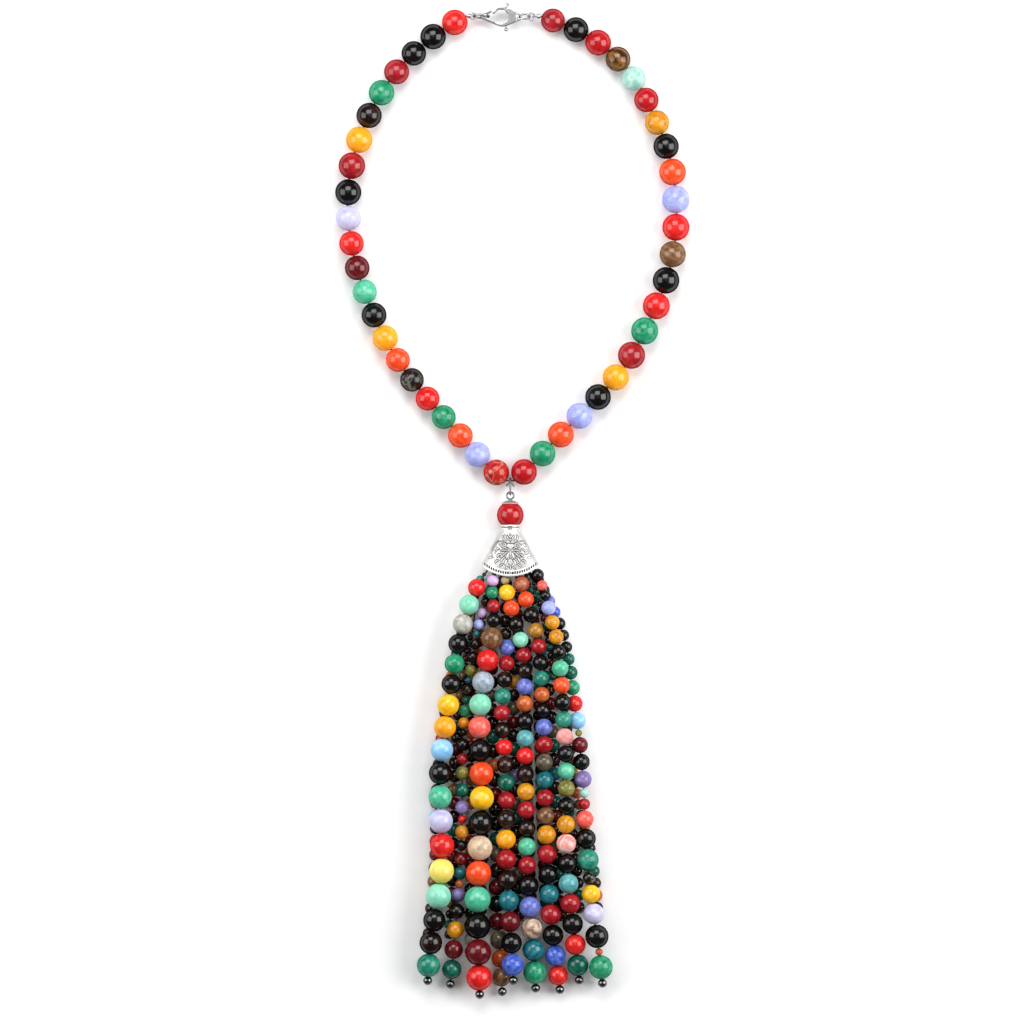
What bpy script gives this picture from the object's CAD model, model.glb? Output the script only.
import logging
import math
from dataclasses import dataclass, field
from enum import Enum

import bpy
import numpy as np
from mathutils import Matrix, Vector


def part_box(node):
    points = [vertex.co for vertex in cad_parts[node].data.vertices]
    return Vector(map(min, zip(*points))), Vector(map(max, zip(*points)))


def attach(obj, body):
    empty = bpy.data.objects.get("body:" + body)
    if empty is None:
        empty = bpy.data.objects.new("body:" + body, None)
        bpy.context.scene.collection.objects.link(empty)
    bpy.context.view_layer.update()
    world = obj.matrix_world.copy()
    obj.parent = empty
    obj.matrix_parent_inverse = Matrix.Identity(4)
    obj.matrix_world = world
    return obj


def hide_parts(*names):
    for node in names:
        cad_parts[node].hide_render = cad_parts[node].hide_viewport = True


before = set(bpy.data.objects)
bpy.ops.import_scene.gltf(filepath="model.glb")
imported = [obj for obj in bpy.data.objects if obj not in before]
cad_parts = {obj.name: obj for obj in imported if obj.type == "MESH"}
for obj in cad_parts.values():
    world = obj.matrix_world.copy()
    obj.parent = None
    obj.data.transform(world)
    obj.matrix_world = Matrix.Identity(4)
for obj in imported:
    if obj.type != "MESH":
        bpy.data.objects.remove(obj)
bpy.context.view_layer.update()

Tree = bpy.types.NodeTree
Node = bpy.types.Node
Socket = bpy.types.NodeSocket
Material = bpy.types.Material
Piece = bpy.types.Object

# Sizes are in millimetres and degrees, and the lights' in metres
MM = 0.001
LOG = logging.getLogger("tassel_necklace")
# CAD points that agree to this many decimals are one point
WELD_DIGITS = 3
# References across which tubes and beads are turned, nowhere parallel to a thread
UPWARDS = np.array([0.0, 0.0, 1.0])
ASKEW = np.array([0.05, 0.03, 1.0])
# Where the rings of a thread's rounded end lie, and how far it stands out for its radius
END_ANGLES = (88, 60, 30)
END_BULGE = 0.9
SMOOTH = {"interpolation_type": "SMOOTHSTEP"}
COLOURS = {"data_type": "RGBA"}
# A Mix node's first and second colour, and its colour output
MIX_A, MIX_B, MIX_OUT = 6, 7, 2
# The wave texture of scale one has a band every 2 pi / 10 of x + y + z, so along the
# diagonal they are this far apart
WAVE_BAND = 2 * math.pi / (10 * math.sqrt(3))


# Helpers for colours, nodes and meshes


def linear(code: str) -> tuple[float, float, float, float]:
    """Turns an sRGB hex colour into linear RGBA.

    Args:
        code: The colour as "#rrggbb".

    Returns:
        Linear red, green and blue, and an alpha of one.
    """
    parts = [int(code[i:i + 2], 16) / 255 for i in (1, 3, 5)]
    straight = [c / 12.92 if c <= 0.04045 else ((c + 0.055) / 1.055) ** 2.4 for c in parts]
    return (straight[0], straight[1], straight[2], 1.0)


def blend(first: str, second: str, share: float) -> tuple[float, ...]:
    """Mixes two hex colours in linear light.

    Args:
        first: The one colour.
        second: The other colour.
        share: The share of the other.

    Returns:
        Linear RGBA.
    """
    return tuple(a + (b - a) * share for a, b in zip(linear(first), linear(second)))


def feed(tree: Tree, node: Node, inputs: dict) -> None:
    """Sets or links a shader node's inputs.

    Args:
        tree: The material's node tree.
        node: The node.
        inputs: For each input's name or number, a value or an output socket to link.
    """
    for key, value in inputs.items():
        if isinstance(value, Socket):
            tree.links.new(value, node.inputs[key])
        else:
            node.inputs[key].default_value = value


def add_node(tree: Tree, kind: str, inputs: dict, settings: dict | None = None) -> Node:
    """Adds one shader node, with its settings, values and links.

    Args:
        tree: The material's node tree.
        kind: Blender's name for the kind of shader node.
        inputs: For each input's name or number, a value or an output socket to link.
        settings: The node's own properties.

    Returns:
        The node.
    """
    node = tree.nodes.new(f"ShaderNode{kind}")
    for key, value in (settings or {}).items():
        setattr(node, key, value)
    feed(tree, node, inputs)
    return node


def new_material(name: str, inputs: dict) -> tuple[Material, Tree, Node]:
    """Makes a material with a Principled shader.

    Args:
        name: The material's name.
        inputs: Values for the shader's inputs, by name.

    Returns:
        The material, its node tree and its shader.
    """
    material = bpy.data.materials.new(name)
    material.use_nodes = True
    shader = material.node_tree.nodes["Principled BSDF"]
    feed(material.node_tree, shader, inputs)
    return material, material.node_tree, shader


def make_piece(name: str, points: np.ndarray, faces: np.ndarray, body: str,
               stands_for: tuple[str, ...] = ()) -> Piece:
    """Puts points and four-sided faces into a smooth mesh object that rides on a body.

    Args:
        name: The piece's name.
        points: Points in millimetres, one a row.
        faces: Corner numbers, four a row.
        body: The CAD body that it rides on.
        stands_for: CAD nodes that it replaces.

    Returns:
        The object.
    """
    mesh = bpy.data.meshes.new(name)
    mesh.vertices.add(len(points))
    mesh.vertices.foreach_set("co", (points * MM).astype(np.float32).ravel())
    mesh.loops.add(faces.size)
    mesh.loops.foreach_set("vertex_index", faces.astype(np.int32).ravel())
    mesh.polygons.add(len(faces))
    mesh.polygons.foreach_set("loop_start", np.arange(0, faces.size, 4, dtype=np.int32))
    mesh.polygons.foreach_set("use_smooth", np.ones(len(faces), dtype=bool))
    mesh.update(calc_edges=True)
    piece = bpy.data.objects.new(name, mesh)
    bpy.context.scene.collection.objects.link(piece)
    if stands_for:
        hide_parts(*stands_for)
    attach(piece, body)
    return piece


def grid_faces(rows: int, columns: int, closed: bool, copies: int = 1) -> np.ndarray:
    """Four-sided faces of a grid of points whose last column joins its first, or of
    several such grids one after another.

    Args:
        rows: Points along the first direction.
        columns: Points along the second direction.
        closed: Whether the last row joins the first too.
        copies: How many grids follow each other.

    Returns:
        Corner numbers, four a row.
    """
    i = np.arange(rows if closed else rows - 1)[:, None]
    j = np.arange(columns)[None, :]
    up, right = (i + 1) % rows, (j + 1) % columns
    corners = [i * columns + j, i * columns + right, up * columns + right, up * columns + j]
    one = np.stack([np.broadcast_to(c, (i.size, j.size)) for c in corners], -1).reshape(-1, 4)
    steps = np.arange(copies)[:, None, None] * rows * columns
    return (one[None] + steps).reshape(-1, 4)


def set_attribute(piece: Piece, name: str, values: np.ndarray) -> None:
    """Stores a number or a vector for each point of a piece.

    Args:
        piece: The object.
        name: The attribute's name.
        values: One number or three for each point.
    """
    vector = values.ndim == 2
    kind = "FLOAT_VECTOR" if vector else "FLOAT"
    attribute = piece.data.attributes.new(name, kind, "POINT")
    attribute.data.foreach_set("vector" if vector else "value",
                               values.astype(np.float32).ravel())


def set_materials(piece: Piece, materials: list[Material],
                  numbers: np.ndarray | None = None) -> None:
    """Gives a piece its materials, and each face the number of its own.

    Args:
        piece: The object.
        materials: The materials, in order.
        numbers: For each face the number of its material, if there are several.
    """
    piece.data.materials.clear()
    for material in materials:
        piece.data.materials.append(material)
    if numbers is not None:
        piece.data.polygons.foreach_set("material_index", numbers.astype(np.int32))


def unit(vectors: np.ndarray) -> np.ndarray:
    """Scales vectors to length one."""
    return vectors / np.maximum(np.linalg.norm(vectors, axis=-1, keepdims=True), 1e-9)


def angles_round(count: int) -> np.ndarray:
    """Evenly spaced angles over one full turn."""
    return np.linspace(0, 2 * math.pi, count, endpoint=False)


def spokes(directions: np.ndarray, reference: np.ndarray, count: int) -> np.ndarray:
    """Unit vectors round each given direction: the cosine of the angle along one vector
    across it, plus the sine along the vector across both.

    Args:
        directions: Unit vectors.
        reference: A vector that is nowhere parallel to them.
        count: Spokes round each.

    Returns:
        The spokes, by direction and angle.
    """
    side = unit(np.cross(directions, reference))
    top = np.cross(side, directions)
    turn = angles_round(count)[None, :, None]
    return side[:, None] * np.cos(turn) + top[:, None] * np.sin(turn)


def tube_points(path: np.ndarray, radii: np.ndarray, sides: int) -> np.ndarray:
    """A circle carried along a path: each row is the path's point plus a radius times
    the spokes across the path.

    Args:
        path: The path's points.
        radii: The radius at each point.
        sides: Points round the tube.

    Returns:
        Points, one a row, ring by ring.
    """
    along = unit(np.gradient(path, axis=0))
    across = spokes(along, UPWARDS, sides)
    return (path[:, None] + across * radii[:, None, None]).reshape(-1, 3)


def rings_about(centre: np.ndarray, radius: float | np.ndarray, y: float | np.ndarray,
                around: np.ndarray) -> np.ndarray:
    """Rings about an axis along Y: the radius times the cosine of the angle in X and
    its sine in Z.

    Args:
        centre: A point on the axis.
        radius: The radius, one for all or a column or grid of them.
        y: The height along the axis, one for all or a column or grid of them.
        around: The angles.

    Returns:
        Points by ring and angle.
    """
    x = centre[0] + radius * np.cos(around)
    z = centre[2] + radius * np.sin(around)
    return np.stack([x, np.broadcast_to(y, x.shape), z], -1)


def capped_path(path: np.ndarray, radii: np.ndarray) -> tuple[np.ndarray, np.ndarray]:
    """Rounds off a tube's two ends by short rings of shrinking radius.

    Args:
        path: The path's points.
        radii: The radius at each point.

    Returns:
        The longer path and its radii.
    """
    angle = np.radians(END_ANGLES)
    first, last = unit(path[1] - path[0]), unit(path[-1] - path[-2])
    head = path[0] - first * radii[0] * np.sin(angle)[:, None] * END_BULGE
    tail = path[-1] + last * radii[-1] * np.sin(angle[::-1])[:, None] * END_BULGE
    return (np.concatenate([head, path, tail]),
            np.concatenate([radii[0] * np.cos(angle), radii, radii[-1] * np.cos(angle[::-1])]))


def solids_of(node: str) -> list[np.ndarray]:
    """The separate solids of a CAD node, by spreading the lowest point number over each
    triangle until nothing changes.

    Args:
        node: The node's name.

    Returns:
        For each solid its points in millimetres.
    """
    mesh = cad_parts[node].data
    points = np.empty(len(mesh.vertices) * 3)
    mesh.vertices.foreach_get("co", points)
    points = points.reshape(-1, 3) / MM
    corners = np.empty(len(mesh.loops), dtype=np.int64)
    mesh.loops.foreach_get("vertex_index", corners)
    _, same = np.unique(np.round(points, WELD_DIGITS), axis=0, return_inverse=True)
    same = same.ravel()
    triangles = same[corners].reshape(-1, 3)
    label = np.arange(same.max() + 1)
    while True:
        spread = label.copy()
        lowest = np.repeat(label[triangles].min(axis=1), 3)
        np.minimum.at(spread, triangles.ravel(), lowest)
        spread = spread[spread]
        if np.array_equal(spread, label):
            break
        label = spread
    group = label[same]
    return [points[group == g] for g in np.unique(group)]


# Finishes


class Pattern(Enum):
    """How the colours lie in a stone."""

    CLOUDED = "soft clouds"
    BANDED = "parallel bands"
    VEINED = "thin veins"
    FLECKED = "patches of a second colour"


@dataclass(frozen=True)
class PolishedStone:
    """Agate, onyx, jasper or dyed jade, ground round and polished until it mirrors.

    Clouds a few millimetres wide go from a deep to a light tone of the stone's colour,
    both drawn a little towards its base by the share in calm. The accent lies in them as
    bands, veins or patches.
    """

    name: str
    deep: str
    base: str
    light: str
    glow: float = 0.0
    pattern: Pattern = Pattern.CLOUDED
    accent: str = "#ffffff"
    share: float = 0.0
    calm: float = 0.3
    roughness: float = 0.17
    cloud_mm: float = 3.2
    band_mm: float = 2.79
    vein_mm: float = 6.25
    fleck_mm: float = 10 / 3

    def material(self) -> Material:
        """Builds the stone's material on the beads' own coordinates in millimetres.

        Returns:
            The material.
        """
        material, tree, shader = new_material(self.name, {
            "IOR": 1.5, "Subsurface Weight": self.glow, "Subsurface Scale": 2 * MM,
            "Subsurface Radius": (1.0, 0.8, 0.7)})
        grain = add_node(tree, "Attribute", {}, {"attribute_name": "grain"})
        cloud = add_node(tree, "TexNoise", {
            "Vector": grain.outputs["Vector"], "Scale": 1 / self.cloud_mm, "Detail": 3.0,
            "Roughness": 0.55, "Distortion": 0.7})
        low = add_node(tree, "MapRange", {
            "Value": cloud.outputs["Fac"], "From Min": 0.3, "From Max": 0.5}, SMOOTH)
        high = add_node(tree, "MapRange", {
            "Value": cloud.outputs["Fac"], "From Min": 0.5, "From Max": 0.72}, SMOOTH)
        body = add_node(tree, "Mix", {
            0: low.outputs["Result"], MIX_A: blend(self.deep, self.base, self.calm),
            MIX_B: linear(self.base)}, COLOURS)
        colour = add_node(tree, "Mix", {
            0: high.outputs["Result"], MIX_A: body.outputs[MIX_OUT],
            MIX_B: blend(self.light, self.base, self.calm)}, COLOURS)
        if self.share:
            colour = add_node(tree, "Mix", {
                0: self.accent_mask(tree, grain.outputs["Vector"]), MIX_A: colour.outputs[MIX_OUT],
                MIX_B: linear(self.accent)}, COLOURS)
        wear = add_node(tree, "MapRange", {
            "Value": cloud.outputs["Fac"], "From Min": 0.3, "From Max": 0.7,
            "To Min": self.roughness * 0.7, "To Max": self.roughness * 1.4})
        facing = add_node(tree, "LayerWeight", {"Blend": 0.5})
        rim = add_node(tree, "MapRange", {
            "Value": facing.outputs["Facing"], "From Min": 0.25, "From Max": 0.65,
            "To Min": 0.5, "To Max": 0.0}, SMOOTH)
        feed(tree, shader, {
            "Base Color": colour.outputs[MIX_OUT], "Roughness": wear.outputs["Result"],
            "Specular IOR Level": rim.outputs["Result"]})
        return material

    def accent_mask(self, tree: Tree, grain: Socket) -> Socket:
        """Where the accent lies: 1 on it and 0 off it.

        Args:
            tree: The material's node tree.
            grain: The beads' own coordinates in millimetres.

        Returns:
            The mask's output socket.
        """
        if self.pattern is Pattern.BANDED:
            wave = add_node(tree, "TexWave", {
                "Vector": grain, "Scale": WAVE_BAND / self.band_mm, "Distortion": 8.0,
                "Detail": 2.0, "Detail Scale": 1.2}, {"bands_direction": "DIAGONAL"})
            mask = add_node(tree, "MapRange", {
                "Value": wave.outputs["Fac"], "From Min": 0.45, "From Max": 0.95,
                "To Max": self.share})
        elif self.pattern is Pattern.VEINED:
            noise = add_node(tree, "TexNoise", {
                "Vector": grain, "Scale": 1 / self.vein_mm, "Detail": 2.0,
                "Roughness": 0.5, "Distortion": 0.4})
            off = add_node(tree, "Math", {0: noise.outputs["Fac"], 1: 0.5},
                           {"operation": "SUBTRACT"})
            near = add_node(tree, "Math", {0: off.outputs[0]},
                            {"operation": "ABSOLUTE"})
            mask = add_node(tree, "MapRange", {
                "Value": near.outputs[0], "From Min": 0.006, "From Max": 0.02,
                "To Min": self.share, "To Max": 0.0})
        else:
            noise = add_node(tree, "TexNoise", {
                "Vector": grain, "Scale": 1 / self.fleck_mm, "Detail": 4.0,
                "Roughness": 0.6, "Distortion": 0.5})
            mask = add_node(tree, "MapRange", {
                "Value": noise.outputs["Fac"], "From Min": 0.52, "From Max": 0.62,
                "To Max": self.share}, SMOOTH)
        return mask.outputs["Result"]


@dataclass(frozen=True)
class PolishedMetal:
    """Plated white metal or steel, cast or drawn, then buffed.

    It mirrors the room, broken by faint rub marks, and its faces are a little uneven, so
    what they mirror sways.
    """

    name: str
    colour: str
    bright: str
    roughness: float = 0.14
    rub_mm: float = 0.4
    rub_deep_mm: float = 0.04
    sway_mm: float = 2.2
    sway_deep_mm: float = 0.12
    edge: str = "#1c1c1e"

    def material(self) -> Material:
        """Builds the metal's material, with its gloss broken by fine rubbing.

        Returns:
            The material.
        """
        material, tree, shader = new_material(self.name, {
            "Metallic": 1.0, "Specular Tint": linear(self.edge)})
        place = add_node(tree, "TexCoord", {})
        rub = add_node(tree, "TexNoise", {
            "Vector": place.outputs["Object"], "Scale": 1 / (self.rub_mm * MM),
            "Detail": 3.0, "Roughness": 0.6})
        gloss = add_node(tree, "MapRange", {
            "Value": rub.outputs["Fac"], "From Min": 0.3, "From Max": 0.7,
            "To Min": self.roughness * 0.6, "To Max": self.roughness * 1.6})
        tone = add_node(tree, "Mix", {
            0: rub.outputs["Fac"], MIX_A: linear(self.colour), MIX_B: linear(self.bright)}, COLOURS)
        sway = add_node(tree, "TexNoise", {
            "Vector": place.outputs["Object"], "Scale": 1 / (self.sway_mm * MM), "Detail": 1.0})
        uneven = add_node(tree, "Bump", {
            "Height": sway.outputs["Fac"], "Strength": 1.0,
            "Distance": self.sway_deep_mm * MM})
        bump = add_node(tree, "Bump", {
            "Height": rub.outputs["Fac"], "Strength": 0.12,
            "Distance": self.rub_deep_mm * MM, "Normal": uneven.outputs["Normal"]})
        feed(tree, shader, {
            "Base Color": tone.outputs[MIX_OUT], "Roughness": gloss.outputs["Result"],
            "Normal": bump.outputs["Normal"]})
        return material


@dataclass(frozen=True)
class AntiqueSilver:
    """Cast silver-coloured alloy, blackened and then wiped, so dark stays in the hollows."""

    name: str = "antique_silver"
    bright: str = "#f3f2ef"
    dull: str = "#cfcecb"
    dark: str = "#1b1918"
    grain_mm: float = 0.5
    grain_deep_mm: float = 0.05
    wear_mm: float = 3.0

    def material(self) -> Material:
        """Builds the metal's material from the piece's own measure of hollowness.

        Returns:
            The material.
        """
        material, tree, shader = new_material(self.name, {})
        place = add_node(tree, "TexCoord", {})
        hollow = add_node(tree, "Attribute", {}, {"attribute_name": "hollow"})
        cast = add_node(tree, "TexNoise", {
            "Vector": place.outputs["Object"], "Scale": 1 / (self.grain_mm * MM),
            "Detail": 4.0, "Roughness": 0.65})
        worn = add_node(tree, "TexNoise", {
            "Vector": place.outputs["Object"], "Scale": 1 / (self.wear_mm * MM),
            "Detail": 2.0})
        face = add_node(tree, "Mix", {
            0: worn.outputs["Fac"], MIX_A: linear(self.bright), MIX_B: linear(self.dull)}, COLOURS)
        stain = add_node(tree, "Math", {
            0: hollow.outputs["Fac"], 1: cast.outputs["Fac"]}, {"operation": "MULTIPLY"})
        depth = add_node(tree, "MapRange", {
            "Value": hollow.outputs["Fac"], "From Min": 0.3, "From Max": 0.85}, SMOOTH)
        spots = add_node(tree, "Math", {
            0: stain.outputs[0], 1: depth.outputs["Result"]}, {"operation": "MAXIMUM"})
        colour = add_node(tree, "Mix", {
            0: spots.outputs[0], MIX_A: face.outputs[MIX_OUT], MIX_B: linear(self.dark)}, COLOURS)
        metal = add_node(tree, "MapRange", {
            "Value": spots.outputs[0], "To Min": 1.0, "To Max": 0.2})
        gloss = add_node(tree, "MapRange", {
            "Value": spots.outputs[0], "To Min": 0.42, "To Max": 0.75})
        bump = add_node(tree, "Bump", {
            "Height": cast.outputs["Fac"], "Strength": 0.15,
            "Distance": self.grain_deep_mm * MM})
        feed(tree, shader, {
            "Base Color": colour.outputs[MIX_OUT], "Metallic": metal.outputs["Result"],
            "Roughness": gloss.outputs["Result"], "Normal": bump.outputs["Normal"]})
        return material


@dataclass(frozen=True)
class TwistedThread:
    """Black nylon beading thread, twisted and slightly waxed.

    It is dull, with slanting ridges that are drawn coarser than the real ones, so that
    they show.
    """

    name: str = "black_thread"
    colour: str = "#141211"
    shade: str = "#0a0908"
    twist_mm: float = 1.371
    ridge_mm: float = 0.05

    def material(self) -> Material:
        """Builds the thread's material, with its twist as diagonal ridges.

        Returns:
            The material.
        """
        material, tree, shader = new_material(self.name, {"Roughness": 0.62})
        place = add_node(tree, "TexCoord", {})
        twist = add_node(tree, "TexWave", {
            "Vector": place.outputs["Object"], "Scale": WAVE_BAND / (self.twist_mm * MM),
            "Distortion": 0.4}, {"bands_direction": "DIAGONAL"})
        tone = add_node(tree, "Mix", {
            0: twist.outputs["Fac"], MIX_A: linear(self.shade), MIX_B: linear(self.colour)}, COLOURS)
        bump = add_node(tree, "Bump", {
            "Height": twist.outputs["Fac"], "Strength": 0.5,
            "Distance": self.ridge_mm * MM})
        feed(tree, shader, {
            "Base Color": tone.outputs[MIX_OUT], "Normal": bump.outputs["Normal"]})
        return material


BANDED, VEINED, FLECKED = Pattern.BANDED, Pattern.VEINED, Pattern.FLECKED
# Each kind of stone: its name, deep, base and light tones, glow, pattern, and the accent
# with its strength
STONES = {letter: PolishedStone(*values) for letter, values in {
    "K": ("black_onyx", "#040404", "#090808", "#110f0e"),
    "k": ("smoky_black", "#0a0504", "#140a08", "#22110c", 0.0, FLECKED, "#4a2a20", 0.5),
    "H": ("flecked_black", "#080707", "#14110f", "#201b17", 0.0, FLECKED, "#8d8274", 0.55),
    "R": ("red_agate", "#b40f12", "#d62220", "#e8382e", 0.12),
    "C": ("bright_crimson_agate", "#8e0c12", "#ae141a", "#c2222a", 0.08),
    "r": ("crimson_agate", "#6f0c14", "#a01a22", "#bc2a30", 0.08, BANDED, "#7a0c12", 0.3),
    "d": ("garnet_agate", "#38080c", "#651016", "#822026", 0.0, FLECKED, "#2a080b", 0.5),
    "O": ("orange_red_agate", "#d23412", "#ec481e", "#fa6634", 0.14, BANDED, "#fc8048", 0.15),
    "o": ("rust_carnelian", "#84301a", "#b85428", "#d07440", 0.1, FLECKED, "#dc8c48", 0.4),
    "q": ("red_brown_jasper", "#7e2c18", "#a04a2e", "#a8704e", 0.0, FLECKED, "#bc9068", 0.4),
    "Z": ("orange_yellow_agate", "#e08a10", "#f6a41a", "#fcba3a", 0.2, BANDED, "#f09020", 0.25),
    "A": ("amber_agate", "#b0680e", "#d8921e", "#eaae42", 0.14, BANDED, "#b06a10", 0.4),
    "a": ("honey_agate", "#7e5016", "#ac7626", "#c69444", 0.12, FLECKED, "#643e12", 0.5),
    "Y": ("yellow_agate", "#dc9e10", "#f4bc1e", "#fad44a", 0.2),
    "y": ("lemon_agate", "#dcc84e", "#f0dc68", "#f8ec98", 0.2),
    "w": ("khaki_stone", "#847654", "#ac9c76", "#c4b894", 0.0, FLECKED, "#6c6040", 0.5),
    "W": ("cream_stone", "#b79a7a", "#d6bd9e", "#ecdcc6", 0.15, FLECKED, "#8a6a50", 0.5),
    "x": ("marbled_stone", "#7a4a38", "#c0a890", "#e6d8c8", 0.0, BANDED, "#6a3024", 0.7),
    "n": ("brown_agate", "#442a18", "#6e4a2c", "#906844", 0.08, BANDED, "#a8825c", 0.3),
    "N": ("tiger_eye", "#1c0f06", "#45260f", "#6e4420", 0.0, BANDED, "#a06c34", 0.6),
    "V": ("olive_stone", "#545420", "#7e7a36", "#a09c58", 0.08, VEINED, "#3c4018", 0.7),
    "v": ("dark_olive_stone", "#2e2c20", "#5a5242", "#746a56", 0.0, FLECKED, "#8c8266", 0.5),
    "G": ("green_agate", "#0c6444", "#1a8a62", "#46a880", 0.12, BANDED, "#64c494", 0.15),
    "g": ("dark_green_agate", "#053c30", "#0a5e4c", "#1c7a66", 0.06, BANDED, "#033026", 0.4),
    "z": ("teal_green_agate", "#12604e", "#25846e", "#50a48e", 0.1, BANDED, "#0e5444", 0.3),
    "j": ("jade_green", "#34a07c", "#50b892", "#84d0b2", 0.16, VEINED, "#2a8a68", 0.4),
    "M": ("mint_stone", "#62c09c", "#84d2b4", "#a8e4ce", 0.22),
    "m": ("pale_mint_stone", "#7cb4a4", "#9cccbe", "#bee0d6", 0.22, BANDED, "#d0e8e0", 0.4),
    "T": ("teal_stone", "#3e888c", "#5ca4a8", "#84bcbe", 0.1, VEINED, "#2a6664", 0.4),
    "t": ("dark_teal_agate", "#0c4c54", "#1c707a", "#388c94", 0.06, BANDED, "#083c44", 0.4),
    "B": ("sky_blue_stone", "#68ace0", "#88c0ea", "#b0daf6", 0.2),
    "U": ("royal_blue_agate", "#263e98", "#3c58bc", "#627cd4", 0.12, BANDED, "#7c94e0", 0.25),
    "u": ("violet_blue_agate", "#444e9c", "#5c68ba", "#808cd2", 0.12, BANDED, "#949cdc", 0.25),
    "L": ("periwinkle_agate", "#8890d8", "#a0a8e6", "#c2c8f4", 0.24),
    "l": ("pale_lavender_agate", "#acaad6", "#c2c0e0", "#dcdaee", 0.26),
    "P": ("purple_agate", "#68568e", "#806ea8", "#a090c4", 0.12),
    "p": ("lilac_stone", "#b48cc6", "#cca8da", "#e0c6ea", 0.2),
    "S": ("grey_agate", "#8a8c86", "#b0b0a6", "#d4d4ca", 0.15, BANDED, "#80827c", 0.4),
    "s": ("blue_grey_agate", "#7a8894", "#a2aebc", "#c4ccd4", 0.15, BANDED, "#74828e", 0.4),
    "E": ("coral_stone", "#dc4640", "#ee6054", "#f68c7e", 0.16),
    "X": ("pink_coral_stone", "#cc6a68", "#e08a86", "#f0b2ac", 0.18, BANDED, "#f2c0ba", 0.3),
    "e": ("pink_white_stone", "#e86a64", "#f29a92", "#fcd8d0", 0.2, BANDED, "#fbe6e0", 0.6),
    "J": ("veined_red_agate", "#5a0c0c", "#b4241c", "#d4402e", 0.06, VEINED, "#e8b498", 0.4),
}.items()}
BRIGHT_METAL = PolishedMetal("bright_plated_metal", "#9a9b9e", "#c4c5c8")
WIRE_METAL = PolishedMetal("plated_wire", "#6c6c6e", "#8e8e90")
DARK_STEEL = PolishedMetal("dark_polished_steel", "#5c5c5e", "#8c8c8e", 0.1)
SILVER = AntiqueSilver()
THREAD = TwistedThread()


Finish = PolishedStone | PolishedMetal | AntiqueSilver | TwistedThread


@dataclass
class Workshop:
    """Keeps each finish's material, so that it is built once, and every bead's place."""

    made: dict[str, Material] = field(default_factory=dict)
    centres: list[np.ndarray] = field(default_factory=list)
    radii: list[float] = field(default_factory=list)

    def material(self, finish: Finish) -> Material:
        """Gives a finish's material, and builds it at its first use.

        Args:
            finish: One of the finishes.

        Returns:
            The material.
        """
        if finish.name not in self.made:
            self.made[finish.name] = finish.material()
        return self.made[finish.name]


# Beads


@dataclass
class BeadRow:
    """Beads on one string, with their centres, the string's directions and their radii.

    A hole's mouth is wider than the hole by the flare, up to a share of the bead's
    radius, and narrows to it over the rim's depth, which goes with the bore.
    """

    centres: np.ndarray
    directions: np.ndarray
    radii: np.ndarray
    flare: float = 1.25
    widest_mouth: float = 0.6
    rim_depth: float = 0.22

    @classmethod
    def from_nodes(cls, *nodes: str) -> "BeadRow":
        """Reads the beads' centres and radii from CAD nodes that hold them.

        Args:
            nodes: The nodes' names.

        Returns:
            The beads, from the lowest along +Y to the highest.
        """
        solids = [solid for node in nodes for solid in solids_of(node)]
        centres = np.array([(s.min(axis=0) + s.max(axis=0)) / 2 for s in solids])
        radii = np.array([np.linalg.norm(s - c, axis=1).max() for s, c in zip(solids, centres)])
        order = np.argsort(centres[:, 1])
        centres, radii = centres[order], radii[order]
        if len(centres) == 1:
            return cls(centres, np.array([[0.0, 1.0, 0.0]]), radii)
        return cls(centres, unit(np.gradient(centres, axis=0)), radii)

    @classmethod
    def along(cls, path: np.ndarray, sizes: np.ndarray, gap: float) -> "BeadRow":
        """Strings beads of given sizes along a path, scaled a little to fill it.

        Args:
            path: The string's points, from its first bead on.
            sizes: The beads' diameters.
            gap: The space between them.

        Returns:
            The beads, in the path's order.
        """
        steps = np.linalg.norm(np.diff(path, axis=0), axis=1)
        length = np.concatenate([[0], np.cumsum(steps)])
        sizes = sizes * (length[-1] - gap * (len(sizes) - 1)) / sizes.sum()
        ends = np.concatenate([[0], np.cumsum(sizes + gap)])[:-1]
        starts = np.stack([np.interp(ends, length, path[:, k]) for k in range(3)], -1)
        stops = np.stack([np.interp(ends + sizes, length, path[:, k]) for k in range(3)], -1)
        return cls((starts + stops) / 2, unit(stops - starts), sizes / 2)

    def points(self, bore: float, rings: int, sides: int) -> np.ndarray:
        """Drilled balls: an arc from one rim of the hole to the other, a rounded rim and
        the hole's wall, turned about each bead's direction.

        Args:
            bore: The hole's radius.
            rings: Rings over the ball.
            sides: Points round the ball.

        Returns:
            Points by bead, ring and side.
        """
        radii = self.radii[:, None]
        edge = np.minimum(bore * self.flare, radii * self.widest_mouth)
        widest = np.arccos(edge / radii)
        tilt = np.linspace(-1, 1, rings)[None] * widest
        inner = radii * np.sin(widest) - self.rim_depth * bore
        out = np.concatenate([radii * np.cos(tilt), np.full((len(radii), 2), bore)], 1)
        along = np.concatenate([radii * np.sin(tilt), inner, -inner], 1)
        round_ = spokes(self.directions, ASKEW, sides)
        axis = self.directions[:, None, None] * along[..., None, None]
        return self.centres[:, None, None] + axis + round_[:, None] * out[..., None, None]


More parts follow.
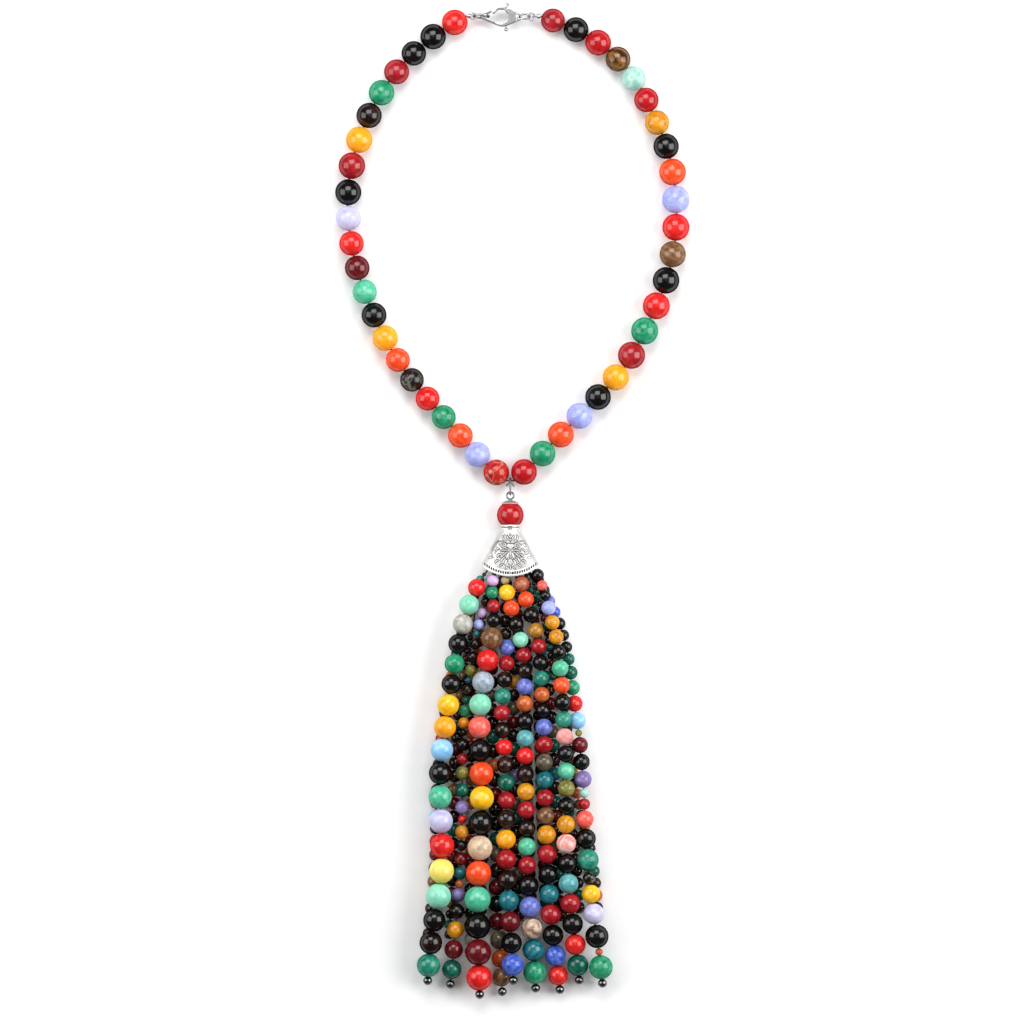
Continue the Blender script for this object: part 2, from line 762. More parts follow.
@dataclass
class BeadString:
    """One string of beads, as one piece with a material for each stone on it."""

    name: str
    row: BeadRow
    stones: str
    bore: float
    stands_for: tuple[str, ...]
    rings: int = 17
    sides: int = 28
    seed: int = 1
    ball: bool = False
    scatter_mm: float = 40.0

    def build(self, workshop: Workshop) -> None:
        """Builds the beads' mesh and dresses each bead in its stone, whose pattern is
        turned and shifted by chance from bead to bead.

        Args:
            workshop: Where the materials and the beads' places are kept.
        """
        points = self.row.points(self.bore, self.rings, self.sides)
        count, rings, sides, _ = points.shape
        piece = make_piece(self.name, points.reshape(-1, 3),
                           grid_faces(rings, sides, True, count), "necklace",
                           self.stands_for)
        chance = np.random.default_rng(self.seed)
        turns = np.linalg.qr(chance.normal(size=(count, 3, 3)))[0]
        shift = chance.uniform(-self.scatter_mm, self.scatter_mm, (count, 1, 1, 3))
        local = points - self.row.centres[:, None, None]
        grain = np.einsum("nrsk,nkl->nrsl", local, turns) + shift
        set_attribute(piece, "grain", grain.reshape(-1, 3))
        finishes = [STONES[letter] for letter in self.stones]
        if self.ball:
            finishes.append(DARK_STEEL)
        used = list(dict.fromkeys(finishes))
        numbers = np.repeat([used.index(finish) for finish in finishes], rings * sides)
        set_materials(piece, [workshop.material(finish) for finish in used], numbers)
        workshop.centres.extend(self.row.centres)
        workshop.radii.extend(self.row.radii)
        LOG.info("%s: %d beads", self.name, count)


# Sub-assemblies


@dataclass
class NeckStrings:
    """The two strings of round beads that make the loop, and their thread."""

    left: str = "JLOGRHOZKjdRlKrZkGrKKR"
    right: str = "CGOLKZrGRKnRLOKACmNCKr"
    bore: float = 0.6

    def build(self, workshop: Workshop) -> None:
        """Builds both strings and dresses the thread.

        Args:
            workshop: Where the materials are kept.
        """
        for side, stones, seed in (("left", self.left, 11), ("right", self.right, 12)):
            row = BeadRow.from_nodes(f"string_{side}")
            BeadString(f"{side}_neck_beads", row, stones, self.bore, (f"string_{side}",),
                       rings=21, sides=36, seed=seed).build(workshop)
        set_materials(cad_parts["string_thread"], [workshop.material(THREAD)])


@dataclass
class Tassel:
    """The strands of beads that hang from the fan cap.

    The front strands have a CAD solid for each bead. The slim ones and the ones under
    them have one solid along their beads, which is strung anew here. Each chart gives
    the stones from the cap down, the slim ones' also the beads' diameters, and the under
    ones' the strand that they branch from, if any.
    """

    bore: float = 0.45
    slim_bore: float = 0.4
    gap: float = 0.12
    thread_radius: float = 0.25
    thread_sides: int = 8
    core_sides: int = 8
    pin_share: float = 0.35
    pin_drop: float = 0.3
    pin_height: float = 4.2
    branch_rise: float = 9.0
    seed_radius: float = 0.8
    seed_bore: float = 0.3
    seed_stones: str = "kKgkdK"
    seed_clearance: float = 0.06
    seed_step: float = 0.1
    hem_clearance: float = 0.6
    hem_rise: float = 1.5
    hem_half: float = 11.0
    front_seed: int = 20
    slim_seed: int = 40
    under_seed: int = 50
    size_seed: int = 60
    smallest_share: float = 0.9
    tops: list[tuple[np.ndarray, np.ndarray]] = field(default_factory=list)
    front: dict[int, str] = field(default_factory=lambda: {
        1: "RMSKGKYZBKjlRyMKkz",
        3: "pGrKnRsMEKOYKWOjKdR",
        5: "kkkkkurkzrkRkgrkZrktdKU",
        6: "wYOKMrkuoKTRkArkjrKuxtG",
        7: "qOKarKzoKurvtrnArKtrKUR",
        8: "KEKLAAKjOKzXKjVKAeKTrKRg",
        9: "kKuUKKKggGRBVdKPmrEKzHYlKoG",
    })
    slim: dict[str, tuple[str, tuple[float, ...]]] = field(default_factory=lambda: {
        "strand_2": ("gkpLtkkVtkgGAKKrVgPRAkdtoPKAdg",
                     (4.2, 4.4, 4.5, 4.4, 2.6, 4.7, 5.0, 5.2, 2.4, 4.4, 3.0, 4.8, 4.4, 2.6, 6.2,
                      4.2, 6.1, 6.6, 5.9, 3.2, 5.9, 4.0, 5.9, 4.7, 3.0, 5.2, 6.7, 7.2, 7.6, 7.9)),
        "strand_4": ("kgkokGdkvkKgkokdkKgvkdKdvon",
                     (3.5, 3.8, 4.2, 4.4, 4.8, 5.0, 5.2, 5.4, 5.4, 5.4, 5.5, 5.5, 5.6, 5.6, 5.8,
                      5.8, 5.8, 5.8, 6.2, 6.2, 6.4, 6.6, 6.8, 7.2, 7.4, 7.4, 7.4)),
    })
    under: dict[str, tuple[str, str]] = field(default_factory=lambda: {
        "under_strand_1": ("zWknodkrknoAdkornkdkoBkrdknokdkrog", ""),
        "under_strand_2": ("koSrkndokAkdnkorkdnkoSkrodAkR", ""),
        "under_strand_3": ("kgdkvkgkAkvdkgkPkvgkdkvkgk", ""),
        "under_strand_4": ("gkgdkvtkgkdkvgktkgdkvkgkdk", ""),
        "under_strand_5": ("ksgkokVmknaknkWknakonkak", ""),
        "under_strand_6": ("kdnkgkdkvkndkgkdkkndkgkdk", "under_strand_1"),
        "under_strand_7": ("kdkgkndkvkgkdkKkdk", "strand_4"),
        "under_strand_8": ("kdkgkKkdnkkgkdkvkKkdkgk", "under_strand_3"),
        "under_strand_9": ("kgkdkKkndkkgkdkvkdk", "under_strand_4"),
        "under_strand_10": ("kdkgnkkdKkgk", "under_strand_4"),
        "under_strand_11": ("ggkkdgkkgkdk", ""),
    })

    def build(self, workshop: Workshop) -> None:
        """Builds every strand, with its beads, thread and end ball.

        Args:
            workshop: Where the materials are kept.
        """
        for number, stones in self.front.items():
            self.front_strand(number, stones, workshop)
        for i, (name, (stones, sizes)) in enumerate(self.slim.items()):
            self.slim_strand(name, stones, np.array(sizes), self.slim_seed + i, "", workshop)
        for i, (name, (stones, tied_to)) in enumerate(self.under.items()):
            sizes = self.under_sizes(name, self.size_seed + i)
            self.slim_strand(name, (stones * 2)[:len(sizes)], sizes, self.under_seed + i,
                             tied_to, workshop)
        self.seed_beads(workshop)

    def front_strand(self, number: int, stones: str, workshop: Workshop) -> None:
        """Builds a strand in view from its CAD beads, and dresses its thread.

        Args:
            number: The strand's number.
            stones: Its stones, from the cap down.
            workshop: Where the materials are kept.
        """
        name = f"strand_{number}"
        nodes = (f"{name}_beads", f"{name}_end")
        row = BeadRow.from_nodes(*nodes)
        row = BeadRow(row.centres[::-1], row.directions[::-1], row.radii[::-1])
        BeadString(f"{name}_dressed", row, stones, self.bore, nodes,
                   seed=self.front_seed + number, ball=True).build(workshop)
        set_materials(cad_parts[f"{name}_thread"], [workshop.material(THREAD)])

    def under_sizes(self, name: str, seed: int) -> np.ndarray:
        """Picks bead sizes near the width of a strand's CAD core, some a little smaller.

        Args:
            name: The strand's name.
            seed: Seed of the sizes.

        Returns:
            The beads' diameters, from the cap down.
        """
        path, radii = self.core(f"{name}_string")
        length = np.linalg.norm(np.diff(path, axis=0), axis=1).sum()
        count = int(length / (2 * radii.mean() + self.gap)) + 1
        mean = np.interp(np.linspace(0, 1, count), np.linspace(0, 1, len(radii)), radii)
        share = np.random.default_rng(seed).uniform(self.smallest_share, 1.0, count)
        return 2 * mean * share

    def seed_beads(self, workshop: Workshop) -> None:
        """Strings small dark beads on the threads between the cap and the strands, from
        each strand's first bead up, wherever the beads round about leave room. They stop
        below the cap's hem, which rises as the square of the distance from the middle.

        Args:
            workshop: Where the materials and the beads' places are kept.
        """
        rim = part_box("fan_cap")[0][1] / MM
        centres, directions = [], []
        for top, first in self.tops:
            length = np.linalg.norm(top - first)
            along = (top - first) / length
            for step in np.arange(0, length, self.seed_step):
                place = first + along * step
                rise = self.hem_rise * (place[0] / self.hem_half) ** 2
                if place[1] > rim + self.hem_clearance + rise:
                    break
                away = np.linalg.norm(np.array(workshop.centres) - place, axis=1)
                room = (away - np.array(workshop.radii)).min() - self.seed_clearance
                if room >= self.seed_radius:
                    workshop.centres.append(place)
                    workshop.radii.append(self.seed_radius)
                    centres.append(place)
                    directions.append(along)
        count = len(centres)
        row = BeadRow(np.array(centres), np.array(directions), np.full(count, self.seed_radius))
        stones = (self.seed_stones * count)[:count]
        BeadString("seed_beads", row, stones, self.seed_bore, (), rings=9, sides=16,
                   seed=80).build(workshop)

    def core(self, node: str) -> tuple[np.ndarray, np.ndarray]:
        """Reads the middle line and radii of a strand that the CAD has as one solid.

        Args:
            node: The CAD node's name.

        Returns:
            The line's points from the cap down, and the radius at each.
        """
        points = np.unique(np.round(solids_of(node)[0], WELD_DIGITS), axis=0)
        rings = points[np.argsort(-points[:, 1])].reshape(-1, self.core_sides, 3)
        middle = rings.mean(axis=1)
        return middle, np.linalg.norm(rings - middle[:, None], axis=2).mean(axis=1)

    def slim_strand(self, name: str, stones: str, sizes: np.ndarray, seed: int,
                    tied_to: str, workshop: Workshop) -> None:
        """Builds a strand of real beads in the room of its CAD core.

        Args:
            name: The strand's name.
            stones: Its stones, from the cap down.
            sizes: The beads' diameters, before they are scaled to fill the strand.
            seed: Seed of the stones' patterns.
            tied_to: The strand whose thread it branches from, if it starts below the cap.
            workshop: Where the materials are kept.
        """
        path, radii = self.core(f"{name}_string")
        row = BeadRow.along(path, sizes, self.gap)
        room = np.interp(-row.centres[:, 1], -path[:, 1], radii)
        row.radii = np.minimum(row.radii, room)
        gone = [f"{name}_string"]
        ball = f"{name}_end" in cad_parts
        if ball:
            end = BeadRow.from_nodes(f"{name}_end")
            row = BeadRow(np.vstack([row.centres, end.centres]),
                          np.vstack([row.directions, row.directions[-1]]),
                          np.append(row.radii, end.radii))
            gone.append(f"{name}_end")
        BeadString(f"{name}_dressed", row, stones, self.slim_bore, tuple(gone), rings=13,
                   sides=20, seed=seed, ball=ball).build(workshop)
        top = self.thread_top(path[0], tied_to)
        if not tied_to:
            self.tops.append((top, row.centres[0]))
        line = np.vstack([top, row.centres])
        line, thick = capped_path(line, np.full(len(line), self.thread_radius))
        thread = make_piece(f"{name}_line", tube_points(line, thick, self.thread_sides),
                            grid_faces(len(line), self.thread_sides, False),
                            "necklace")
        set_materials(thread, [workshop.material(THREAD)])

    def thread_top(self, start: np.ndarray, tied_to: str) -> np.ndarray:
        """Finds where a thread comes from: the eye pin's bar inside the cap, or a place
        on another strand a little above.

        Args:
            start: The top of the strand's CAD core.
            tied_to: The other strand, or nothing.

        Returns:
            The thread's first point.
        """
        if not tied_to:
            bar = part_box("eye_pin")[0][1] / MM - self.pin_drop
            return np.array([start[0] * self.pin_share, bar, self.pin_height])
        other, _ = self.core(f"{tied_to}_string")
        above = start + np.array([0, self.branch_rise, 0])
        return other[int(np.argmin(np.linalg.norm(other - above, axis=1)))]


# Strokes of the cap's ornament, each a curve of three points with its half width, in
# millimetres from the heart's middle. Leaves, petals and stems on both sides:
MIRRORED_STROKES = (
    (0.0, -1.7, 0.0, -3.6, 0.0, -5.6, 0.14), (0.15, -2.5, 0.9, -3.0, 1.2, -4.1, 0.2),
    (0.15, -3.6, 0.7, -4.2, 0.9, -5.3, 0.2), (1.5, -2.4, 2.1, -3.1, 2.1, -4.4, 0.22),
    (2.6, -2.2, 3.0, -2.8, 2.9, -3.8, 0.18), (1.5, -1.3, 2.9, -1.9, 4.2, -1.4, 0.1),
    (1.2, 1.0, 2.2, 0.2, 3.5, 0.4, 0.26), (1.3, 1.5, 2.6, 1.3, 3.7, 2.2, 0.28),
    (1.1, 2.0, 2.0, 2.4, 2.7, 3.6, 0.28), (0.6, 2.3, 1.2, 3.2, 1.4, 4.5, 0.3),
    (0.0, 1.4, 0.0, 2.8, 0.0, 4.4, 0.26), (0.4, 4.9, 0.7, 5.8, 0.4, 6.8, 0.24),
    (1.2, 5.1, 2.0, 5.7, 2.0, 7.0, 0.28), (2.2, 4.3, 3.3, 4.7, 3.6, 6.0, 0.28),
    (3.4, 3.2, 4.6, 3.4, 5.1, 4.6, 0.26), (4.2, 1.4, 5.2, 1.5, 5.6, 2.6, 0.18),
    (0.0, 7.3, 0.0, 7.9, 0.0, 8.7, 0.22), (0.9, 7.7, 1.5, 7.9, 1.8, 8.7, 0.2),
    (2.8, 6.9, 3.6, 7.1, 4.1, 8.1, 0.22), (4.5, 5.7, 5.5, 5.9, 5.9, 7.0, 0.24),
    (2.4, -0.6, 2.9, -0.9, 3.5, -0.7, 0.14), (2.6, 1.0, 2.6, 1.0, 2.7, 1.1, 0.16),
    (4.2, -0.3, 4.2, -0.3, 4.3, -0.2, 0.18), (6.9, 5.3, 7.7, 5.3, 8.4, 6.1, 0.2),
    (1.9, 3.9, 1.9, 3.9, 2.0, 4.0, 0.15), (3.9, 4.4, 3.9, 4.4, 4.0, 4.5, 0.16))
# The large scroll on the right and the fern on the left:
SINGLE_STROKES = (
    (4.4, -1.6, 6.0, -0.9, 7.2, 1.2, 0.13), (7.2, 1.2, 8.3, 3.4, 6.9, 3.9, 0.15),
    (6.9, 3.9, 5.6, 4.0, 5.9, 2.9, 0.14), (5.9, 2.9, 6.3, 2.2, 6.9, 2.9, 0.12),
    (5.1, -0.2, 5.7, 0.2, 6.1, 1.1, 0.16), (8.1, 4.6, 8.8, 4.7, 9.3, 5.4, 0.16),
    (-4.6, -1.3, -6.2, 0.4, -7.3, 3.2, 0.12), (-5.0, -1.6, -5.6, -1.4, -6.0, -0.6, 0.15),
    (-5.9, 0.8, -5.2, 1.0, -4.9, 1.8, 0.15), (-6.2, 0.0, -6.9, 0.2, -7.2, 1.1, 0.15),
    (-6.7, 2.2, -6.1, 2.6, -6.0, 3.4, 0.15), (-7.2, 1.7, -7.9, 2.0, -8.2, 2.9, 0.16),
    (-7.5, 3.8, -7.1, 4.2, -7.2, 4.9, 0.16))


@dataclass
class FanCap:
    """The cast cap over the top of the tassel, with its cupped collar and raised ornament.

    The fan's straight sides would meet at its point, from which every reach is measured.
    A stain is a share of full blackening.
    """

    angle: float = 28.5
    start: float = 7.44
    top_radius: float = 3.55
    length: float = 18.4
    corner_rise: float = 1.5
    depth: float = 9.6
    wall: float = 1.0
    squareness: float = 0.2
    hem_drop: float = 0.12
    bore_end: float = 0.5
    collar_radius: float = 3.75
    collar_height: float = 1.5
    collar_edge: float = 0.14
    collar_step: float = 0.28
    collar_dots: int = 20
    dot_depth: float = 0.12
    seat: float = 0.1
    bore: float = 0.6
    relief: float = 0.3
    heart_reach: float = 13.6
    heart_lobe: float = 0.8
    lobe_place: tuple[float, float] = (0.55, -0.35)
    wedge_slope: float = 0.8
    wedge_half: float = 1.1
    wedge_top: float = 0.2
    stroke_points: int = 12
    tip: float = 0.08
    leaf_edge: float = 0.25
    groove: float = 0.15
    groove_out: float = 0.12
    groove_cut: float = 0.55
    border: float = 2.0
    border_edge: float = 0.15
    border_line: float = 0.09
    pit_pitch: float = 0.92
    pit_half: tuple[float, float] = (0.26, 0.42)
    pit_middle: float = 1.25
    ground: float = 0.55
    ground_edge: float = 0.3
    stain: float = 0.46
    extra_stain: float = 0.1
    extra_reach: float = 4.0
    line_stain: float = 0.5
    flank_stain: float = 0.35
    inside_stain: float = 0.6
    columns: int = 448
    rows: int = 190
    collar_rows: int = 22

    def ornament(self, side: np.ndarray, reach: np.ndarray,
                 limit: np.ndarray) -> tuple[np.ndarray, np.ndarray]:
        """Height and darkness of the ornament. Each stroke is a bent leaf that swells in
        its middle: inside it the height rises as a dome, and a thin groove runs round it
        where blackening stays. The ground between is darker at the right, where it is
        rubbed less. The border has a row of pits between two plain edges.

        Args:
            side: Distance across from the middle line, along the arc.
            reach: Distance from the fan's point.
            limit: The rim's distance from the fan's point.

        Returns:
            The height from 0 to 1 and the darkness from 0 to 1 at each place.
        """
        nearest = self.nearest_stroke(side, reach - self.heart_reach)
        edge = limit - reach
        inner = np.clip((edge - self.border) / self.border_edge, 0, 1)
        dome = np.clip(-nearest / self.leaf_edge, 0, 1)
        groove = np.exp(-((nearest - self.groove_out) / self.groove) ** 2) * inner
        across = np.abs((side / self.pit_pitch + 0.5) % 1 - 0.5) * self.pit_pitch
        pit = 1.5 - np.maximum(across / self.pit_half[0],
                               np.abs(edge - self.pit_middle) / self.pit_half[1])
        line = np.exp(-((edge - self.border) / self.border_line) ** 2) * self.line_stain
        stain = self.stain + self.extra_stain * np.clip(side / self.extra_reach, 0, 1)
        low = stain * inner * np.clip(nearest / self.ground_edge, 0, 1)
        dark = np.maximum.reduce([groove, np.clip(pit * 2, 0, 1), line, low])
        ground = self.ground + (1 - self.ground) * (1 - inner)
        cut = self.groove_cut * np.maximum(dark - low, 0)
        height = np.maximum(ground, self.ground + (1 - self.ground) * dome) - cut
        return np.clip(height, 0, 1), dark

    def nearest_stroke(self, side: np.ndarray, y: np.ndarray) -> np.ndarray:
        """Distance to the edge of the nearest stroke, below zero inside it. The heart is
        two round lobes, or the wedge under them where that is nearer. A stroke is a
        quadratic curve, and its width goes as the root of a sine along it.

        Args:
            side: Distance across from the middle line.
            y: Distance down from the heart's middle.

        Returns:
            The distance at each place.
        """
        x = np.abs(side)
        lobe_x, lobe_y = self.lobe_place
        lobes = np.hypot(x - lobe_x, y - lobe_y) - self.heart_lobe
        wedge = np.maximum(x + y * self.wedge_slope - self.wedge_half, -y - self.wedge_top)
        nearest = np.minimum(lobes, wedge)
        t = np.linspace(0, 1, self.stroke_points)
        thickness = np.sqrt(np.sin(math.pi * (self.tip + (1 - 2 * self.tip) * t)))
        for strokes, place in ((MIRRORED_STROKES, x), (SINGLE_STROKES, side)):
            for x0, y0, x1, y1, x2, y2, wide in strokes:
                px = (1 - t) ** 2 * x0 + 2 * t * (1 - t) * x1 + t * t * x2
                py = (1 - t) ** 2 * y0 + 2 * t * (1 - t) * y1 + t * t * y2
                away = np.hypot(place[..., None] - px, y[..., None] - py)
                nearest = np.minimum(nearest, np.min(away - wide * thickness, axis=-1))
        return nearest

    def build(self, workshop: Workshop) -> None:
        """Builds the cap: rows of points round its section, from its bore over the
        outside to the rim and back along the inside, with the ornament on both faces.

        Args:
            workshop: Where the materials are kept.
        """
        bead = BeadRow.from_nodes("pendant_bead")
        centre, cup = bead.centres[0], bead.radii[0] + self.seat
        top_y = centre[1] - math.sqrt(cup ** 2 - self.collar_radius ** 2)
        end_y = top_y - self.collar_height
        origin_y = end_y + self.start * math.cos(math.radians(self.angle))
        around = angles_round(self.columns)
        collar, hollow = self.collar(centre, cup, top_y, around)
        share = np.linspace(0, 1, self.rows)[1:, None]
        outside, sunk = self.shell(share, around[None], origin_y, centre, 0.0)
        inner_share = np.array([[1.0], [0.66], [0.33], [0.12]])
        inside, _ = self.shell(inner_share, around[None], origin_y, centre, self.wall)
        hem = (outside[-1] + inside[0]) / 2 - np.array([0, self.hem_drop, 0])
        last = rings_about(centre, self.bore, end_y - self.bore_end, around)
        points = np.concatenate([collar, outside, hem[None], inside, last[None]])
        dark = np.concatenate([hollow, sunk, np.zeros((1, self.columns)),
                               np.full((len(inside) + 1, self.columns), self.inside_stain)])
        piece = make_piece("ornamented_fan_cap", points.reshape(-1, 3),
                           grid_faces(len(points), self.columns, True),
                           "necklace", ("fan_cap",))
        piece.data.flip_normals()
        set_attribute(piece, "hollow", dark.ravel())
        set_materials(piece, [workshop.material(SILVER)])
        LOG.info("fan cap: %d points", len(points) * self.columns)

    def collar(self, centre: np.ndarray, cup: float, top_y: float,
               around: np.ndarray) -> tuple[np.ndarray, np.ndarray]:
        """The cup under the pendant bead and the collar's band with its row of dots. The
        band's radius falls as a fourth power towards its edges, and steps in halfway.

        Args:
            centre: The pendant bead's middle.
            cup: The cup's radius.
            top_y: Where the collar starts.
            around: Angles round the axis.

        Returns:
            Rows of points, and how hollow each point is.
        """
        out = np.array([[self.bore], [self.collar_radius * 0.5], [self.collar_radius * 0.8],
                        [self.collar_radius - 0.3]])
        bowl = rings_about(centre, out, centre[1] - np.sqrt(cup ** 2 - out ** 2), around)
        bowl_dark = np.repeat([[0.8], [0.8], [0.8], [0.2]], len(around), axis=1)
        share = np.linspace(0, 1, self.collar_rows)[:, None]
        across = (around[None] * self.collar_dots / (2 * math.pi)) % 1 - 0.5
        dots = np.clip(1.5 - np.hypot(np.abs(across) * 2.2, (share - 0.72) / 0.13), 0, 1)
        radius = (self.collar_radius - self.collar_edge * (2 * share - 1) ** 4
                  - self.collar_step * np.clip((share - 0.5) / 0.06, 0, 1))
        y = top_y - 0.05 - share * (self.collar_height - 0.1)
        band = rings_about(centre, radius - self.dot_depth * dots, y, around)
        step = (share > 0.5) & (share < 0.56)
        band_dark = np.clip(dots * 1.2 + 0.75 * step, 0, 1)
        return np.concatenate([bowl, band]), np.concatenate([bowl_dark, band_dark])

    def shell(self, share: np.ndarray, around: np.ndarray, origin_y: float,
              centre: np.ndarray, inset: float) -> tuple[np.ndarray, np.ndarray]:
        """The fan's skin. Round its section it goes as a power of the cosine across and of
        the sine in depth, and down its length the reach from the fan's point grows.

        Args:
            share: Share of the length, as a column.
            around: Angles round the section, as a row.
            origin_y: Where the fan's sides would meet.
            centre: The pendant bead's middle.
            inset: How far inside the outer skin it lies.

        Returns:
            Points by row and column, and how hollow each is.
        """
        cos, sin = np.cos(around), np.sin(around)
        power = 1 - self.squareness * np.minimum(1, share * 4)
        turn = self.angle * np.sign(cos) * np.abs(cos) ** power
        tilt = np.radians(turn)
        full = self.start * math.cos(math.radians(self.angle)) + self.length
        limit = full - self.corner_rise * (turn / self.angle) ** 2
        reach = self.start + (limit - self.start) * share
        half_wide = reach * math.sin(math.radians(self.angle))
        half_deep = self.top_radius + (self.depth / 2 - self.top_radius) * share
        tall, dark = self.ornament(reach * tilt, reach, limit)
        fade = np.abs(sin) ** 0.6 * np.minimum(1, share / 0.1)
        lift = 0 if inset else self.relief * tall * fade
        x = reach * np.sin(tilt) * (1 - inset / half_wide)
        z = (half_deep - inset + lift) * np.sign(sin) * np.abs(sin) ** power
        points = np.stack([centre[0] + x, origin_y - reach * np.cos(tilt), centre[2] + z], -1)
        flank = self.flank_stain * np.clip((np.abs(cos) - 0.95) / 0.04, 0, 1)
        return points, np.maximum(dark * (0.3 + 0.7 * fade), flank)


@dataclass
class Pendant:
    """The bail, eye pin, small cap and single large bead above the fan cap."""

    bead_bore: float = 0.6
    seat: float = 0.1
    cap_wall: float = 0.5
    cap_radius: float = 3.45
    cap_ribs: int = 16
    rib_depth: float = 0.16
    rib_start: float = 0.34
    furrow_stain: float = 0.4
    inside_stain: float = 0.7
    cap_rows: int = 26
    cap_sides: int = 96

    def build(self, workshop: Workshop) -> None:
        """Builds the bead and its cap, and dresses the two wire pieces.

        Args:
            workshop: Where the materials are kept.
        """
        row = BeadRow.from_nodes("pendant_bead")
        BeadString("pendant_bead_dressed", row, "C", self.bead_bore, ("pendant_bead",),
                   rings=41, sides=64, seed=3).build(workshop)
        self.build_bead_cap(row.centres[0], row.radii[0] + self.seat, workshop)
        for node in ("bail", "eye_pin"):
            set_materials(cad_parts[node], [workshop.material(WIRE_METAL)])

    def build_bead_cap(self, centre: np.ndarray, seat: float, workshop: Workshop) -> None:
        """Builds the small cap: a thin dome turned about the axis, whose outer skin sinks
        between its ribs as the cosine of the angle, more towards the rim.

        Args:
            centre: The pendant bead's middle.
            seat: The dome's inner radius.
            workshop: Where the materials are kept.
        """
        widest = math.asin(self.cap_radius / (seat + self.cap_wall))
        narrowest = math.asin(self.bead_bore / seat)
        tilt = np.linspace(narrowest, widest, self.cap_rows)
        turn = angles_round(self.cap_sides)
        furrows = 1 - (0.5 + 0.5 * np.cos(self.cap_ribs * turn[None]))
        shade = np.clip((tilt - self.rib_start) / 0.3, 0, 1)[:, None]
        outer = seat + self.cap_wall - self.rib_depth * shade * furrows
        radius = np.concatenate([outer, np.full(outer.shape, seat)])
        lean = np.concatenate([tilt, tilt[::-1]])[:, None]
        out = np.minimum(radius * np.sin(lean), self.cap_radius)
        points = rings_about(centre, out, centre[1] + radius * np.cos(lean), turn)
        piece = make_piece("pendant_bead_cap", points.reshape(-1, 3),
                           grid_faces(len(points), self.cap_sides, True),
                           "necklace", ("bead_cap",))
        hollow = np.concatenate([self.furrow_stain * shade * furrows ** 2,
                                 np.full(outer.shape, self.inside_stain)])
        set_attribute(piece, "hollow", hollow.ravel())
        set_materials(piece, [workshop.material(SILVER)])


@dataclass
class Clasp:
    """The lobster clasp, its lever, rings and crimps."""

    cast: tuple[str, ...] = ("clasp_body", "clasp_lever")
    wires: tuple[str, ...] = ("hook_ring", "left_crimp", "tail_ring", "right_end_ring",
                              "right_crimp")
    grid_mm: float = 0.075
    rounds: int = 16
    pull: float = 0.5

    def build(self, workshop: Workshop) -> None:
        """Dresses the clasp's pieces in polished metal, the cast ones with soft edges.

        Args:
            workshop: Where the materials are kept.
        """
        for node in self.cast + self.wires:
            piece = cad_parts[node]
            set_materials(piece, [workshop.material(BRIGHT_METAL)])
            if node in self.cast:
                self.soften(piece)

    def soften(self, piece: Piece) -> None:
        """Rounds a cast piece's edges as tumbling does: an even skin, then smoothed.

        Args:
            piece: The clasp's body or lever.
        """
        even = piece.modifiers.new("even_skin", "REMESH")
        even.mode = "VOXEL"
        even.voxel_size = self.grid_mm * MM
        even.use_smooth_shade = True
        soft = piece.modifiers.new("tumbled_edges", "SMOOTH")
        soft.factor = self.pull
        soft.iterations = self.rounds


# The studio


@dataclass(frozen=True)
class Softbox:
    """A rectangular light, by its place and size in metres and its power in watts."""

    name: str
    place: tuple[float, float, float]
    size: tuple[float, float]
    power: float
    aimed: bool = True

    def build(self) -> None:
        """Adds the light, turned to the necklace's middle if it is aimed, or else down."""
        data = bpy.data.lights.new(self.name, "AREA")
        data.shape = "RECTANGLE"
        data.size, data.size_y = self.size
        data.energy = self.power
        light = bpy.data.objects.new(self.name, data)
        light.location = self.place
        if self.aimed:
            x, y, z = self.place
            light.rotation_euler = (math.atan2(math.hypot(x, y), z), 0.0,
                                    math.atan2(-y, -x) - math.pi / 2)
        bpy.context.scene.collection.objects.link(light)


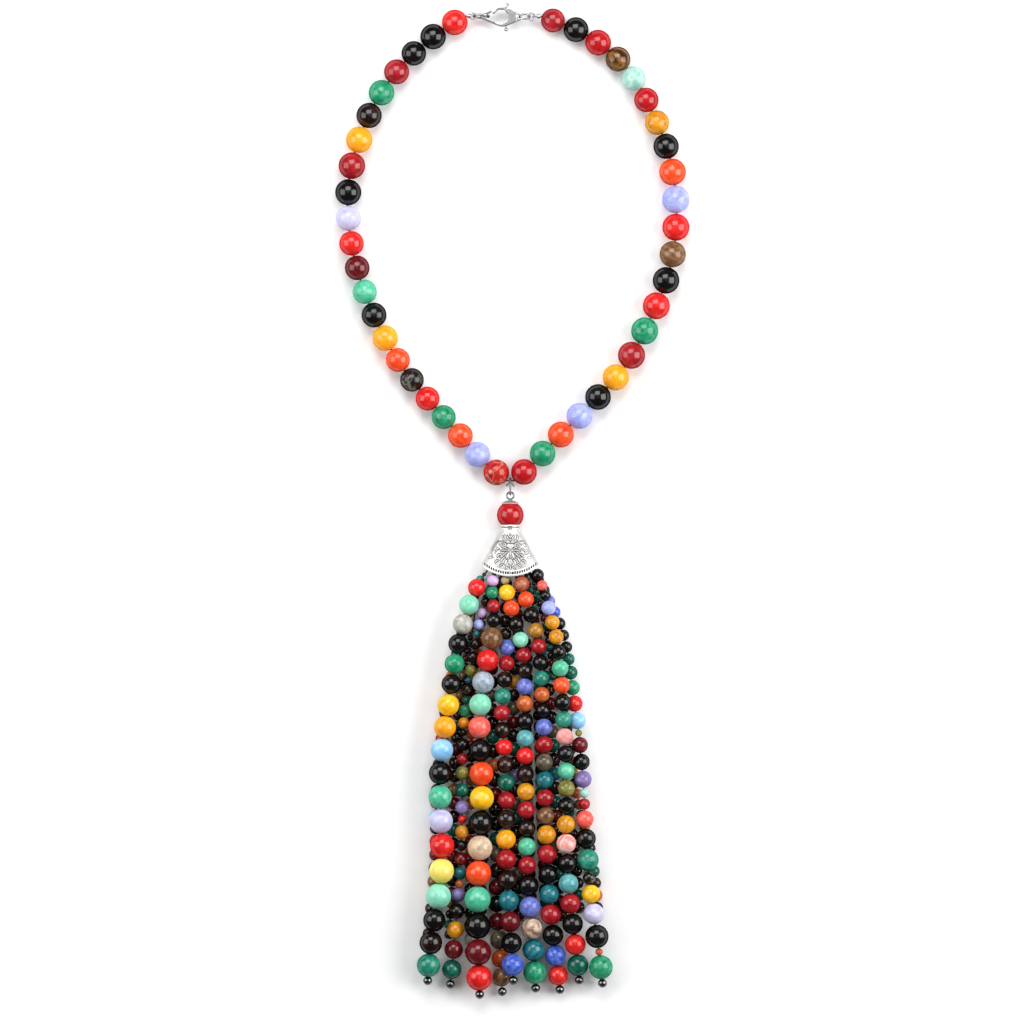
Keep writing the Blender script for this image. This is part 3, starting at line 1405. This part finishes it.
@dataclass
class Studio:
    """Floor, lights and camera. Two large softboxes stand at the sides and one above the
    clasp, and a faint panel over the camera is what flat metal mirrors as light grey."""

    picture_scale: float = 0.385
    picture_centre: tuple[float, float] = (-0.16, -3.78)
    picture_width: float = 1024.0
    bead_height: float = 5.0
    lens: float = 200.0
    sensor: float = 36.0
    floor_half: float = 900.0
    floor_drop: float = 0.02
    room_light: float = 0.09
    lights: tuple[Softbox, ...] = (
        Softbox("left_softbox", (-0.68, 0.10, 0.50), (0.62, 0.66), 4.6),
        Softbox("right_softbox", (0.66, 0.06, 0.54), (0.66, 0.70), 7.8),
        Softbox("top_light", (-0.06, 0.54, 0.68), (0.60, 0.48), 5.2),
        Softbox("overhead_panel", (0.0, 0.2, 2.6), (0.7, 0.9), 1.6, aimed=False))

    def build(self) -> None:
        """Builds the floor, the lights, the world and the camera."""
        self.build_floor()
        for light in self.lights:
            light.build()
        world = bpy.data.worlds.new("grey_room")
        world.use_nodes = True
        background = world.node_tree.nodes["Background"]
        background.inputs["Color"].default_value = linear("#f4f6fa")
        background.inputs["Strength"].default_value = self.room_light
        bpy.context.scene.world = world
        bpy.context.scene.view_settings.view_transform = "Standard"
        self.build_camera()

    def build_floor(self) -> None:
        """Builds the pale floor that the necklace lies on."""
        half, down = self.floor_half, -self.floor_drop
        corners = np.array([[-half, -half, down], [half, -half, down],
                            [half, half, down], [-half, half, down]])
        mesh = bpy.data.meshes.new("floor")
        mesh.from_pydata((corners * MM).tolist(), [], [(0, 1, 2, 3)])
        floor = bpy.data.objects.new("floor", mesh)
        bpy.context.scene.collection.objects.link(floor)
        material, _, _ = new_material("white_paper", {
            "Base Color": linear("#f4f4f4"), "Roughness": 0.9, "Specular IOR Level": 0.1,
            "Emission Color": linear("#ffffff"), "Emission Strength": 0.02})
        set_materials(floor, [material])

    def build_camera(self) -> None:
        """Adds the camera, so that one picture point is as wide as in the photograph."""
        data = bpy.data.cameras.new("camera")
        data.lens, data.sensor_width = self.lens, self.sensor
        wide = self.picture_width * self.picture_scale
        camera = bpy.data.objects.new("camera", data)
        camera.location = (self.picture_centre[0] * MM, self.picture_centre[1] * MM,
                           (self.bead_height + wide * self.lens / self.sensor) * MM)
        bpy.context.scene.collection.objects.link(camera)
        bpy.context.scene.camera = camera


def main() -> None:
    """Builds the studio and then the necklace, part by part."""
    logging.basicConfig(level=logging.INFO, format="%(message)s")
    Studio().build()
    workshop = Workshop()
    for part in (NeckStrings(), Tassel(), FanCap(), Pendant(), Clasp()):
        LOG.info("building %s", type(part).__name__)
        part.build(workshop)


if __name__ == "__main__":
    main()
